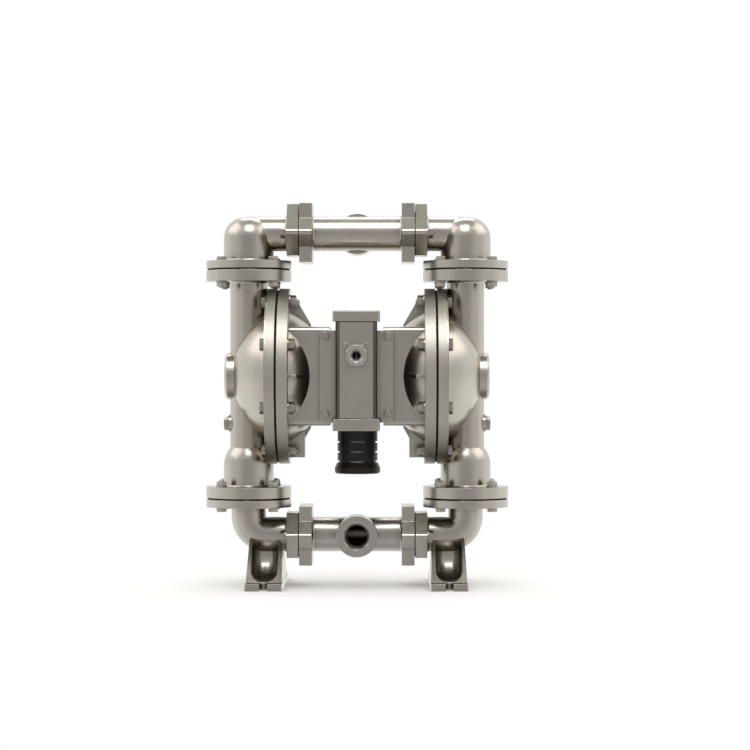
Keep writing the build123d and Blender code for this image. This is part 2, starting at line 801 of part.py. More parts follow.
# Diaphragm flange bolts, nuts and washers
big_grip = outer_flange_t + diaphragm_t + inner_flange_t
big_shank = big_grip + big_washer_t + big_nut_t + thread_stub
big_bolt = hex_bolt(big_bolt_d, big_bolt_af, big_head_t, big_shank)
big_nut = hex_nut(big_bolt_d, big_bolt_af, big_nut_t)
big_washer = washer(big_bolt_d, big_washer_od, big_washer_t)
big_heads = ring_planes(across(wet_face_x + outer_flange_t, 0, rod_z), big_pcd, big_bolts)
big_fars = [turned(head.offset(-big_grip)) for head in big_heads]
write(both_sides(copies(big_bolt, big_heads)), "flange_bolts")
write(both_sides(copies(big_washer, big_fars)), "flange_washers")
write(both_sides(copies(big_nut, [far.offset(big_washer_t) for far in big_fars])), "flange_nuts")

# Inner chamber: dome in a square box that is open to the rear, radial ribs, lug and flange
air_dome = dome_cap(inner_dome_x, dome_r, dry_face_x, -1)
air_cavity = dome_cap(inner_dome_x, dome_r - cast_wall, dry_face_x, -1)
tie_offset = tie_r * math.sqrt(0.5)
tie_spots = [(y, rod_z + z) for y in (-tie_offset, tie_offset) for z in (-tie_offset, tie_offset)]
valve_bolt_spots = [(x, z) for x in (-valve_bolt_x, valve_bolt_x) for z in valve_bolt_z]
box_length = inner_flange_x - box_end_x
pocket_x = box_end_x + box_end_wall
rib_root_x = inner_flange_x + overlap
lug_height = rod_z - lug_bottom_z

with BuildPart() as block:
    slab(across(box_end_x, 0, rod_z), box_size, box_size, box_length, radius=box_round)

with BuildPart() as box:
    add(block.part)
    slab(across(pocket_x, box_size / 2, rod_z), 2 * (box_size - box_wall), box_size - 2 * box_wall,
         box_length, radius=box_pocket_round, mode=Mode.SUBTRACT)
    for z in valve_bolt_z:
        disc(backward(valve_bolt_x, -valve_face_y, z), valve_boss_d, valve_bolt_depth + box_wall)
    for y, z in tie_spots:
        disc(across(box_end_x, y, z), tie_boss_d, rod_boss_x - box_end_x)
    for z in feed_z:
        disc(across(box_end_x, -feed_y, z), feed_boss_d, feed_boss_x - box_end_x)
    disc(across(box_end_x, 0, pilot_z), tie_boss_d, rod_boss_x - box_end_x)
    add(block.part, mode=Mode.INTERSECT)

with BuildPart() as inner_chamber:
    add(air_dome)
    disc(inward(dry_face_x, 0, rod_z), big_flange_od, inner_flange_t)
    add(box.part)
    with BuildSketch(forward(0, 0, rod_z)) as rib:
        with BuildLine():
            Polyline((rib_root_x, rib_flange_r), (rib_outer_x, rib_flange_r), (rib_tip_x, rib_tip_r),
                     (rib_tip_x, 0), (rib_root_x, 0), close=True)
        make_face()
    for turn in range(4):
        extrude(rib.sketch.rotate(rod_axis, 90 * turn), amount=rib_t / 2, both=True)
    slab(across(lug_x, 0, rod_z - lug_height / 2), lug_width, lug_height, rib_root_x - lug_x)
    add(air_cavity, mode=Mode.SUBTRACT)
    disc(across(box_end_x, 0, rod_z), rod_boss_od, rod_boss_x - box_end_x)
    disc(across(box_end_x, 0, pilot_z), guide_od, guide_x - box_end_x)
    disc(across(box_end_x, 0, rod_z), rod_d + 2 * rod_bore_gap, rod_boss_x - box_end_x,
         mode=Mode.SUBTRACT)
    disc(across(box_end_x, 0, rod_z), seal_od, seal_t + rest_gap, mode=Mode.SUBTRACT)
    disc(across(box_end_x, 0, pilot_z), plunger_d + 2 * running_gap, guide_x - box_end_x,
         mode=Mode.SUBTRACT)
    for y, z in tie_spots:
        disc(across(box_end_x, y, z), tie_d + 2 * hole_gap, rod_boss_x - box_end_x, mode=Mode.SUBTRACT)
        disc(across(tie_seat_x, y, z), tie_head_d + 2 * tie_head_gap, rod_boss_x - tie_seat_x,
             mode=Mode.SUBTRACT)
    for z in feed_z:
        disc(across(box_end_x, -feed_y, z), feed_d, feed_boss_x - box_end_x, mode=Mode.SUBTRACT)
    for z in valve_bolt_z:
        disc(backward(valve_bolt_x, -valve_face_y, z), valve_bolt_d + 2 * snug_gap, valve_bolt_depth,
             mode=Mode.SUBTRACT)
    bolt_holes(inward(dry_face_x, 0, rod_z), big_hole_d, big_pcd, big_bolts, inner_flange_t)
write_pair(inner_chamber.part, "inner_chamber")

tie_bolt = socket_screw(tie_d, tie_head_d, tie_head_t, tie_socket_af, tie_seat_x - tie_depth_x)
write(both_sides(copies(tie_bolt, [across(tie_seat_x, y, z) for y, z in tie_spots])), "tie_bolts")

# Centre body with the rod and pilot bores, the air passages and the exhaust to the muffler
with BuildPart() as center_body:
    center_depth = valve_face_y + center_rear_y
    center_y = (center_rear_y - valve_face_y) / 2
    slab(upright(0, center_y, center_bottom_z), 2 * box_end_x, center_depth, center_top_z - center_bottom_z)
    chamfer(center_body.edges().filter_by(Axis.X).sort_by(Axis.Y)[-2:], center_bevel)
    disc(across(-box_end_x, 0, rod_z), rod_d + 2 * rod_bore_gap, 2 * box_end_x, mode=Mode.SUBTRACT)
    disc(across(-box_end_x, 0, pilot_z), pilot_sleeve_od + 2 * snug_gap, 2 * box_end_x, mode=Mode.SUBTRACT)
    for end in (across(-box_end_x, 0, rod_z), inward(box_end_x, 0, rod_z)):
        disc(end, bushing_od + 2 * snug_gap, bushing_length, mode=Mode.SUBTRACT)
    for y, z in tie_spots:
        for end in (across(-box_end_x, y, z), inward(box_end_x, y, z)):
            disc(end, tie_d + 2 * snug_gap, box_end_x - tie_depth_x + tap_gap, mode=Mode.SUBTRACT)
    outlet = upright(0, muffler_y, center_bottom_z)
    disc(outlet, nipple_d + 2 * snug_gap, nipple_depth + nipple_gap, mode=Mode.SUBTRACT)
    disc(outlet, exhaust_d, exhaust_z - center_bottom_z, mode=Mode.SUBTRACT)
    disc(forward(0, muffler_y, exhaust_z), exhaust_d, muffler_y + valve_face_y, mode=Mode.SUBTRACT)
    for side, z in zip((-1, 1), feed_z):
        disc(backward(0, -valve_face_y, z), feed_d, valve_face_y - feed_y + feed_d / 2, mode=Mode.SUBTRACT)
        disc(across(0, -feed_y, z), feed_d, side * box_end_x, mode=Mode.SUBTRACT)
write(center_body.part, "center_body")

with BuildPart() as bushing:
    disc(inward(box_end_x, 0, rod_z), bushing_od, bushing_length)
    disc(inward(box_end_x, 0, rod_z), rod_d + 2 * bushing_gap, bushing_length, mode=Mode.SUBTRACT)
write(both_sides(bushing.part), "rod_bushings")

with BuildPart() as seal:
    disc(across(box_end_x, 0, rod_z), seal_od - 2 * snug_gap, seal_t)
    disc(across(box_end_x, 0, rod_z), rod_d + 2 * bushing_gap, seal_t, mode=Mode.SUBTRACT)
write(both_sides(seal.part), "rod_seals")

# Shuttle: rod, inner and outer plates
with BuildPart() as diaphragm_rod:
    disc(across(-inner_hub_x, 0, rod_z), rod_d, 2 * inner_hub_x)
    chamfer(diaphragm_rod.edges(), rod_end_chamfer)
    disc(across(-stud_reach, 0, rod_z), stud_d, 2 * stud_reach)
write(diaphragm_rod.part, "diaphragm_rod")

with BuildPart() as inner_plate:
    disc(inward(dry_face_x, 0, rod_z), 2 * plate_r, inner_plate_t)
    disc(inward(dry_face_x, 0, rod_z), 2 * inner_hub_r, dry_face_x - inner_hub_x)
    disc(inward(dry_face_x, 0, rod_z), stud_d + 2 * snug_gap, dry_face_x - inner_hub_x, mode=Mode.SUBTRACT)
write_pair(inner_plate.part, "inner_plate")

with BuildPart() as outer_plate:
    with BuildSketch(forward(0, 0, rod_z)) as crown:
        with BuildLine():
            Polyline((crown_x, outer_hex_af / 2), (crown_x, 0), (wet_face_x, 0), (wet_face_x, plate_r),
                     (wet_face_x + outer_plate_t, plate_r))
            TangentArc((crown_x, outer_hex_af / 2), (wet_face_x + outer_plate_t, plate_r), tangent=(0, 1))
        make_face()
    revolve(crown.sketch, axis=rod_axis)
    hexagon(across(crown_x, 0, rod_z), outer_hex_af, outer_hex_t)
    stud_hole = stud_reach + snug_gap - wet_face_x
    disc(across(wet_face_x, 0, rod_z), stud_d + 2 * snug_gap, stud_hole, mode=Mode.SUBTRACT)
write_pair(outer_plate.part, "outer_plate")

# Diaphragm: clamped rim and centre with a rolling fold between them
with BuildPart() as diaphragm:
    rim_r = big_flange_od / 2 - diaphragm_inset
    hole_r = stud_d / 2 + snug_gap
    roll_inner_r = plate_r + roll_gap
    roll_outer_r = math.sqrt((dome_r - cast_wall) ** 2 - (wet_face_x - outer_dome_x) ** 2) - roll_gap
    roll_r = (roll_inner_r + roll_outer_r) / 2
    with BuildSketch(forward(0, 0, rod_z)) as section:
        with BuildLine():
            Polyline((dry_face_x, roll_inner_r), (dry_face_x, hole_r), (wet_face_x, hole_r),
                     (wet_face_x, roll_inner_r))
            ThreePointArc((wet_face_x, roll_inner_r), (wet_face_x + roll_height, roll_r),
                          (wet_face_x, roll_outer_r))
            Polyline((wet_face_x, roll_outer_r), (wet_face_x, rim_r), (dry_face_x, rim_r),
                     (dry_face_x, roll_outer_r))
            ThreePointArc((dry_face_x, roll_outer_r), (dry_face_x + roll_height, roll_r),
                          (dry_face_x, roll_inner_r))
        make_face()
    revolve(section.sketch, axis=rod_axis)
    bolt_holes(across(dry_face_x, 0, rod_z), big_hole_d, big_pcd, big_bolts, diaphragm_t)
write_pair(diaphragm.part, "diaphragm")

# Pilot valve
with BuildPart() as pilot_sleeve:
    disc(across(-box_end_x, 0, pilot_z), pilot_sleeve_od, 2 * box_end_x)
    disc(across(-box_end_x, 0, pilot_z), pilot_spool_d + 2 * running_gap, 2 * box_end_x, mode=Mode.SUBTRACT)
write(pilot_sleeve.part, "pilot_sleeve")

spool_end_x = box_end_x - pilot_travel - pilot_end_gap
with BuildPart() as pilot_spool:
    disc(across(-spool_end_x, 0, pilot_z), pilot_spool_d, 2 * spool_end_x)
    for share in (-2 / 3, 0, 2 / 3):
        with BuildSketch(across(share * spool_end_x - pilot_groove_w / 2, 0, pilot_z)) as groove:
            Circle(pilot_spool_d)
            Circle(pilot_groove_d / 2, mode=Mode.SUBTRACT)
        extrude(groove.sketch, amount=pilot_groove_w, mode=Mode.SUBTRACT)
write(pilot_spool.part, "pilot_spool")

with BuildPart() as plunger:
    disc(across(spool_end_x, 0, pilot_z), plunger_d, plunger_tip_x - spool_end_x)
    fillet(plunger.faces().sort_by(Axis.X)[-1].edges(), plunger_round)
write(both_sides(plunger.part), "pilot_plungers")

# Air valve: gasket, body with its mounting plate, sleeve, spool, bumpers and caps
plate_height = plate_top_z - plate_bottom_z
plate_mid_z = (plate_top_z + plate_bottom_z) / 2
plate_back_y = valve_face_y + valve_gasket_t
body_depth = valve_front_y - plate_back_y
body_mid_y = -plate_back_y - body_depth / 2
valve_length = valve_top_z - valve_bottom_z
back_ports = ((exhaust_z, exhaust_d), (feed_z[0], feed_d), (feed_z[1], feed_d))
with BuildPart() as valve_gasket:
    gasket_face = forward(0, -valve_face_y, plate_mid_z)
    slab(gasket_face, 2 * plate_half_x, plate_height, valve_gasket_t, radius=plate_round)
    for z, diameter in back_ports:
        disc(forward(0, -valve_face_y, z), diameter, valve_gasket_t, mode=Mode.SUBTRACT)
    for x, z in valve_bolt_spots:
        disc(forward(x, -valve_face_y, z), valve_hole_d, valve_gasket_t, mode=Mode.SUBTRACT)
write(valve_gasket.part, "valve_gasket")

inlet_screw_spots = []
cap_screw_spots = []
for x_side in (-1, 1):
    for other_side in (-1, 1):
        inlet_screw_spots.append((x_side * inlet_lobe, inlet_z + other_side * inlet_lobe))
        cap_screw_spots.append((x_side * cap_screw_x, -valve_axis_y + other_side * cap_screw_y))

with BuildPart() as air_valve_body:
    plate_back = forward(0, -plate_back_y, plate_mid_z)
    slab(plate_back, 2 * plate_half_x, plate_height, plate_t, radius=plate_round)
    slab(forward(0, -plate_back_y, plate_bottom_z), cap_w + 2 * cap_relief,
         2 * (valve_bottom_z - plate_bottom_z), plate_t, mode=Mode.SUBTRACT)
    slab(upright(0, body_mid_y, valve_bottom_z), valve_w, body_depth, valve_length, radius=valve_round)
    disc(upright(0, -valve_axis_y, valve_bottom_z), sleeve_od + 2 * snug_gap, valve_length,
         mode=Mode.SUBTRACT)
    disc(forward(0, -valve_axis_y, inlet_z), sleeve_port_d, valve_front_y - valve_axis_y,
         mode=Mode.SUBTRACT)
    disc(backward(0, -valve_front_y, inlet_z), inlet_thread_d,
         inlet_thread_depth - inlet_pad_t - inlet_ring_t, mode=Mode.SUBTRACT)
    for z, diameter in back_ports:
        disc(forward(0, -plate_back_y, z), diameter, valve_axis_y - plate_back_y, mode=Mode.SUBTRACT)
    for x, z in valve_bolt_spots:
        disc(forward(x, -plate_back_y, z), valve_hole_d, plate_t, mode=Mode.SUBTRACT)
    for x, z in inlet_screw_spots:
        disc(backward(x, -valve_front_y, z), inlet_screw_d + 2 * snug_gap, inlet_screw_depth,
             mode=Mode.SUBTRACT)
    for x, y in cap_screw_spots:
        for face in (upright(x, y, valve_bottom_z), downward(x, y, valve_top_z)):
            disc(face, cap_screw_d + 2 * snug_gap, cap_screw_depth, mode=Mode.SUBTRACT)
write(air_valve_body.part, "air_valve_body")

valve_bolt_shank = plate_t + valve_gasket_t + valve_bolt_depth - tap_gap
valve_bolt = hex_bolt(valve_bolt_d, valve_bolt_af, valve_bolt_head_t, valve_bolt_shank)
plate_front_y = -plate_back_y - plate_t
write(copies(valve_bolt, [forward(x, plate_front_y, z) for x, z in valve_bolt_spots]), "valve_bolts")

with BuildPart() as valve_sleeve:
    disc(upright(0, -valve_axis_y, valve_bottom_z), sleeve_od, valve_length)
    disc(upright(0, -valve_axis_y, valve_bottom_z), sleeve_id, valve_length, mode=Mode.SUBTRACT)
    disc(forward(0, -valve_axis_y, inlet_z), sleeve_port_d, sleeve_od, mode=Mode.SUBTRACT)
    for z in (exhaust_z, *feed_z):
        disc(backward(0, -valve_axis_y, z), sleeve_port_d, sleeve_od, mode=Mode.SUBTRACT)
write(valve_sleeve.part, "valve_sleeve")

spool_bottom_z = valve_bottom_z - cap_gasket_t + bumper_t + rest_gap
spool_top_z = valve_top_z + cap_gasket_t - bumper_t - rest_gap - spool_travel
spool_length = spool_top_z - spool_bottom_z
with BuildPart() as valve_spool:
    disc(upright(0, -valve_axis_y, spool_bottom_z), waist_d, spool_length)
    for share in (0.0, 1 / 3, 2 / 3, 1.0):
        land_z = spool_bottom_z + share * (spool_length - land_length)
        disc(upright(0, -valve_axis_y, land_z), sleeve_id - 2 * running_gap, land_length)
write(valve_spool.part, "valve_spool")

bottom_cap_z = valve_bottom_z - cap_gasket_t
top_cap_z = valve_top_z + cap_gasket_t
with BuildPart() as spool_bumpers:
    disc(upright(0, -valve_axis_y, bottom_cap_z), bumper_d, bumper_t)
    disc(downward(0, -valve_axis_y, top_cap_z), bumper_d, bumper_t)
write(spool_bumpers.part, "spool_bumpers")

with BuildPart() as cap_gaskets:
    for gasket_z in (bottom_cap_z, valve_top_z):
        slab(upright(0, body_mid_y, gasket_z), valve_w, body_depth, cap_gasket_t, radius=valve_round)
        disc(upright(0, -valve_axis_y, gasket_z), sleeve_od, cap_gasket_t, mode=Mode.SUBTRACT)
        for x, y in cap_screw_spots:
            disc(upright(x, y, gasket_z), cap_hole_d, cap_gasket_t, mode=Mode.SUBTRACT)
write(cap_gaskets.part, "cap_gaskets")

head_sink = cap_screw_head_t + cap_screw_sink


def valve_cap(face, thickness):
    """End cap of the air valve on the plane of its inner face."""
    outward = Axis(face.origin, face.z_dir)
    with BuildPart() as cap:
        slab(face, cap_w, cap_depth, thickness, radius=cap_round)
        chamfer(cap.faces().sort_by(outward)[-1].edges(), cap_bevel)
        for x, y in cap_screw_spots:
            spot = Plane(origin=(x, y, face.origin.Z), x_dir=face.x_dir, z_dir=face.z_dir)
            disc(spot, cap_hole_d, thickness, mode=Mode.SUBTRACT)
            disc(spot.offset(thickness), cap_screw_head_d + 2 * hole_gap, -head_sink, mode=Mode.SUBTRACT)
    return cap.part


write(valve_cap(upright(0, -valve_axis_y, top_cap_z), top_cap_t), "top_valve_cap")
write(valve_cap(downward(0, -valve_axis_y, bottom_cap_z), bottom_cap_t), "bottom_valve_cap")

top_seat_z = top_cap_z + top_cap_t - head_sink
bottom_seat_z = bottom_cap_z - bottom_cap_t + head_sink
cap_ends = ((upright, top_seat_z, top_cap_t), (downward, bottom_seat_z, bottom_cap_t))
with BuildPart() as cap_screws:
    for facing, seat_z, thickness in cap_ends:
        shank = thickness - head_sink + cap_gasket_t + cap_screw_depth - tap_gap
        screw = socket_screw(cap_screw_d, cap_screw_head_d, cap_screw_head_t, cap_screw_socket_af, shank)
        add(copies(screw, [facing(x, y, seat_z) for x, y in cap_screw_spots]))
write(cap_screws.part, "cap_screws")

# Air inlet adapter on the front of the valve body
with BuildPart() as air_inlet_adapter:
    pad = forward(0, -valve_front_y, inlet_z)
    slab(pad, inlet_pad, inlet_pad, inlet_pad_t, radius=inlet_lobe_r)
    for x, z in inlet_screw_spots:
        disc(forward(x, -valve_front_y, z), 2 * inlet_lobe_r, inlet_pad_t)
    disc(pad, inlet_ring_od, inlet_pad_t + inlet_ring_t)
    disc(pad, inlet_thread_d, inlet_pad_t + inlet_ring_t, mode=Mode.SUBTRACT)
    rim = air_inlet_adapter.faces().sort_by(Axis.Y)[0].edges()
    chamfer(rim.sort_by(SortBy.RADIUS)[0], (inlet_entry_d - inlet_thread_d) / 2)
    for x, z in inlet_screw_spots:
        disc(forward(x, -valve_front_y, z), inlet_screw_d + 2 * snug_gap, inlet_pad_t, mode=Mode.SUBTRACT)
write(air_inlet_adapter.part, "air_inlet_adapter")

inlet_shank = inlet_pad_t + inlet_screw_depth - tap_gap
inlet_screw = socket_screw(inlet_screw_d, inlet_screw_head_d, inlet_screw_head_t, inlet_socket_af,
                           inlet_shank)
screw_seat_y = -valve_front_y - inlet_pad_t
write(copies(inlet_screw, [forward(x, screw_seat_y, z) for x, z in inlet_screw_spots]), "inlet_screws")

# Muffler: slotted shell with a flared base, threaded into the centre body, and its element
muffler_r = muffler_od / 2
base_r = muffler_base_od / 2
chord = 2 * muffler_r * math.sin(math.radians(muffler_slot_deg / 2))
muffler_axis = Axis((0, muffler_y, 0), (0, 0, 1))
shell_floor_z = muffler_bottom_z + muffler_wall + element_seat
shell_roof_z = muffler_top_z - muffler_wall
nipple_top_z = center_bottom_z + nipple_depth
with BuildPart() as muffler_body:
    with BuildSketch(forward(0, muffler_y, 0)) as shell:
        with BuildLine():
            Polyline((0, muffler_bottom_z), (base_r, muffler_bottom_z), (base_r, muffler_rim_z),
                     (muffler_r, muffler_flare_z), (muffler_r, muffler_top_z), (0, muffler_top_z),
                     close=True)
        make_face()
        corners = shell.vertices().sort_by(Axis.X)[2:].sort_by(Axis.Y)
        fillet([corners[0], corners[1], corners[3]], muffler_round)
    revolve(shell.sketch, axis=muffler_axis)
    disc(upright(0, muffler_y, muffler_top_z), nipple_d, nipple_top_z - muffler_top_z)
    disc(upright(0, muffler_y, shell_floor_z), muffler_od - 2 * muffler_wall,
         shell_roof_z - shell_floor_z, mode=Mode.SUBTRACT)
    disc(upright(0, muffler_y, shell_roof_z), exhaust_d, nipple_top_z - shell_roof_z, mode=Mode.SUBTRACT)
    for slot_z in slot_rows:
        with Locations(Plane(origin=(0, muffler_y, slot_z))):
            with PolarLocations(muffler_r, muffler_columns, start_angle=90):
                Box(4 * muffler_wall, chord, muffler_slot_h, mode=Mode.SUBTRACT)
    groove_height = muffler_top_z - muffler_rim_z
    with Locations(Plane(origin=(0, muffler_y, muffler_rim_z + groove_height / 2))):
        with PolarLocations(muffler_r, muffler_columns, start_angle=45):
            Box(2 * groove_depth, groove_w, groove_height, mode=Mode.SUBTRACT)
write(muffler_body.part, "muffler_body")

with BuildPart() as muffler_element:
    disc(upright(0, muffler_y, shell_floor_z), element_od, shell_roof_z - shell_floor_z)
    disc(upright(0, muffler_y, shell_floor_z), element_id, shell_roof_z - shell_floor_z, mode=Mode.SUBTRACT)
write(muffler_element.part, "muffler_element")
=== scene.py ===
import json
import math

import bmesh
import bpy
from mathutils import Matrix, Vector


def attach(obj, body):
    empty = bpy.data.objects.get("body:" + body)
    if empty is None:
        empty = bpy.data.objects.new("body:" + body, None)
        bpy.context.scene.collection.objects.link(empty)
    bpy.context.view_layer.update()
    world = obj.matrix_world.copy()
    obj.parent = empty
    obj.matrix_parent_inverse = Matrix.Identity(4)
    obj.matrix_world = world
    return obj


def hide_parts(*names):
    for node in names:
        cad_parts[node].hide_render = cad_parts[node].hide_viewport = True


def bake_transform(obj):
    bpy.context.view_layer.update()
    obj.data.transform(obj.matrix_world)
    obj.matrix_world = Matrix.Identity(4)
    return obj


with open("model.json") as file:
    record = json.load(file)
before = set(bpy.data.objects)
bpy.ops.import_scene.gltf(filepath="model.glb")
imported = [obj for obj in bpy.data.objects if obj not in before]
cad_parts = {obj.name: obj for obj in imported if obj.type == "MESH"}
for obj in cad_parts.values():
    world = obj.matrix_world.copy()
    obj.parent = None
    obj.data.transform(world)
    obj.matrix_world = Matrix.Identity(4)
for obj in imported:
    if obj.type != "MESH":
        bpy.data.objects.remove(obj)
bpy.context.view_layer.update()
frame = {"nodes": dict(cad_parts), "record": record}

# Looks of an air operated double-diaphragm pump in cast stainless steel.
# Metres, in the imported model's frame: X along the diaphragm rod, Y to the rear, Z up.
nodes = frame["nodes"]
print("frame loaded:", len(nodes), "nodes")

rodHeight = 0.3753          # axis of the diaphragm rod
suctionHeight = 0.091       # axis of the suction port
dischargeHeight = 0.6313    # axis of the discharge port
inletHeight = 0.4115        # axis of the air inlet


# An input takes a plain value, or a wire from another node's socket.
def feed(tree, socket, value):
    if isinstance(value, bpy.types.NodeSocket):
        tree.links.new(value, socket)
    else:
        socket.default_value = value


# Places a shader node with its settings and inputs; an input is named, or numbered where names repeat.
def addNode(tree, kind, inputs=None, **settings):
    node = tree.nodes.new("ShaderNode" + kind)
    for name, value in settings.items():
        setattr(node, name, value)
    for name, value in (inputs or {}).items():
        feed(tree, node.inputs[name], value)
    return node


def opaque(colour):
    return (*colour, 1)


def addRamp(tree, factor, stops):
    ramp = addNode(tree, "ValToRGB", {"Fac": factor})
    elements = ramp.color_ramp.elements
    while len(elements) < len(stops):
        elements.new(0.5)
    for element, (position, colour) in zip(elements, stops):
        element.position = position
        element.color = opaque(colour)
    return ramp.outputs["Color"]


# The Mix node numbers its colour sockets 6 and 7, and its colour output 2.
def mixColours(tree, factor, first, second, blend="MIX"):
    node = addNode(tree, "Mix", {0: factor, 6: first, 7: second}, data_type="RGBA", blend_type=blend)
    return node.outputs[2]


def maths(tree, operation, *terms, clamp=False):
    return addNode(tree, "Math", dict(enumerate(terms)), operation=operation, use_clamp=clamp).outputs[0]


def remap(tree, value, low=0.0, high=1.0, newLow=0.0, newHigh=1.0):
    ends = {"Value": value, "From Min": low, "From Max": high, "To Min": newLow, "To Max": newHigh}
    return addNode(tree, "MapRange", ends).outputs["Result"]


def newGroup(name, inputs, outputs):
    tree = bpy.data.node_groups.new(name, "ShaderNodeTree")
    kinds = {"value": "NodeSocketFloat", "colour": "NodeSocketColor", "vector": "NodeSocketVector"}
    for label, kind, default in inputs:
        tree.interface.new_socket(label, in_out="INPUT", socket_type=kinds[kind]).default_value = default
    for label, kind in outputs:
        tree.interface.new_socket(label, in_out="OUTPUT", socket_type=kinds[kind])
    entry = tree.nodes.new("NodeGroupInput")
    leave = tree.nodes.new("NodeGroupOutput")
    return tree, entry.outputs, leave.inputs


# Places a group in a material with its own values; an underscore stands for a space in an input's name.
def useGroup(tree, group, **values):
    node = tree.nodes.new("ShaderNodeGroup")
    node.node_tree = group
    for name, value in values.items():
        node.inputs[name.replace("_", " ")].default_value = value
    return node.outputs


# Rounded edges: a bevelled normal, a mask that is 1 on the edges, and one that is 1 deep in a corner.
# The edge mask paints lighter edges, partly wear and partly painted highlight; the corner mask paints shade
# into corners and recesses.
edgeLook = {"radius": 0.0012, "samples": 6, "gain": 3.0, "reach": 0.022,
            "openShare": 0.8, "closedShare": 0.25}


def makeEdgeGroup():
    look = edgeLook
    tree, given, result = newGroup(
        "edge wear, painted edge highlight and painted corner shade",
        [("Gain", "value", look["gain"]), ("Reach", "value", look["reach"]),
         ("Open Share", "value", look["openShare"])],
        [("Normal", "vector"), ("Edge", "value"), ("Painted Shade", "value")])
    rounded = addNode(tree, "Bevel", {"Radius": look["radius"]}, samples=look["samples"]).outputs[0]
    flat = addNode(tree, "NewGeometry").outputs["Normal"]
    agree = addNode(tree, "VectorMath", {0: rounded, 1: flat}, operation="DOT_PRODUCT").outputs["Value"]
    edge = maths(tree, "MULTIPLY", maths(tree, "SUBTRACT", 1.0, agree), given["Gain"], clamp=True)
    # Painted shade: ambient occlusion gives a mask that is 1 deep in corners and recesses.
    shade = addNode(tree, "AmbientOcclusion", {"Distance": given["Reach"]}, samples=look["samples"])
    depth = remap(tree, shade.outputs["AO"], given["Open Share"], look["closedShare"])
    tree.links.new(depth, result["Painted Shade"])
    tree.links.new(rounded, result["Normal"])
    tree.links.new(edge, result["Edge"])
    return tree


# Skin of a blasted casting: mottled tone, fine grain and slow waves.
skinLook = {"mottleDetail": 5.0, "mottleBlur": 0.6, "grainDetail": 3.0, "grainBlur": 0.65,
            "waveScale": 55.0, "waveDetail": 2.0,
            "patchRange": (0.35, 0.65), "speckRange": (0.3, 0.7), "speckShare": 0.25}


def makeSkinGroup():
    look = skinLook
    tree, given, result = newGroup(
        "casting skin",
        [("Light", "colour", (0.6, 0.6, 0.6, 1)), ("Dark", "colour", (0.5, 0.5, 0.5, 1)),
         ("Mottle Scale", "value", 30.0), ("Grain Scale", "value", 900.0),
         ("Wave Height", "value", 1.0), ("Smoothest", "value", 0.25), ("Roughest", "value", 0.4)],
        [("Color", "colour"), ("Roughness", "value"), ("Height", "value")])
    place = addNode(tree, "TexCoord").outputs["Object"]
    mottle = addNode(tree, "TexNoise", {"Vector": place, "Scale": given["Mottle Scale"],
                                        "Detail": look["mottleDetail"], "Roughness": look["mottleBlur"]})
    grain = addNode(tree, "TexNoise", {"Vector": place, "Scale": given["Grain Scale"],
                                       "Detail": look["grainDetail"], "Roughness": look["grainBlur"]})
    waves = addNode(tree, "TexNoise", {"Vector": place, "Scale": look["waveScale"],
                                       "Detail": look["waveDetail"]})
    patch = remap(tree, mottle.outputs["Fac"], *look["patchRange"])
    speck = remap(tree, grain.outputs["Fac"], *look["speckRange"])
    share = look["speckShare"]
    tone = maths(tree, "MULTIPLY_ADD", speck, share, maths(tree, "MULTIPLY", patch, 1 - share))
    colour = mixColours(tree, tone, given["Dark"], given["Light"])
    roughness = remap(tree, patch, newLow=given["Smoothest"], newHigh=given["Roughest"])
    height = maths(tree, "MULTIPLY_ADD", waves.outputs["Fac"], given["Wave Height"], grain.outputs["Fac"])
    tree.links.new(colour, result["Color"])
    tree.links.new(roughness, result["Roughness"])
    tree.links.new(height, result["Height"])
    return tree


# Fine scratches from tools and handling: three runs, each with its turn and its stretch.
scratchLook = {"runs": (((0.3, 0.2, 0.1), (1, 14, 1)), ((0.1, 0.9, 0.4), (14, 1, 1)),
                        ((0.7, 0.1, 1.1), (1, 1, 16))),
               "detail": 2.0, "blur": 0.5, "range": (0.66, 0.74), "polish": -0.08}


def makeScratchGroup():
    look = scratchLook
    tree, given, result = newGroup(
        "tool scratches", [("Scale", "value", 60.0), ("Amount", "value", 0.5)], [("Mask", "value")])
    place = addNode(tree, "TexCoord").outputs["Object"]
    total = None
    for turn, stretch in look["runs"]:
        mapping = addNode(tree, "Mapping", {"Vector": place, "Rotation": turn, "Scale": stretch})
        streaks = addNode(tree, "TexNoise", {"Vector": mapping.outputs[0], "Scale": given["Scale"],
                                             "Detail": look["detail"], "Roughness": look["blur"]})
        line = remap(tree, streaks.outputs["Fac"], *look["range"])
        total = line if total is None else maths(tree, "MAXIMUM", total, line)
    tree.links.new(maths(tree, "MULTIPLY", total, given["Amount"], clamp=True), result["Mask"])
    return tree


# Turned rims of the big flanges: a mask for them, and fine grooves that run round the rod's axis.
rimLook = {"radius": 0.1575, "farEnd": 0.159, "band": 0.0012, "drift": 0.012, "grooves": 900.0, "detail": 2.0}


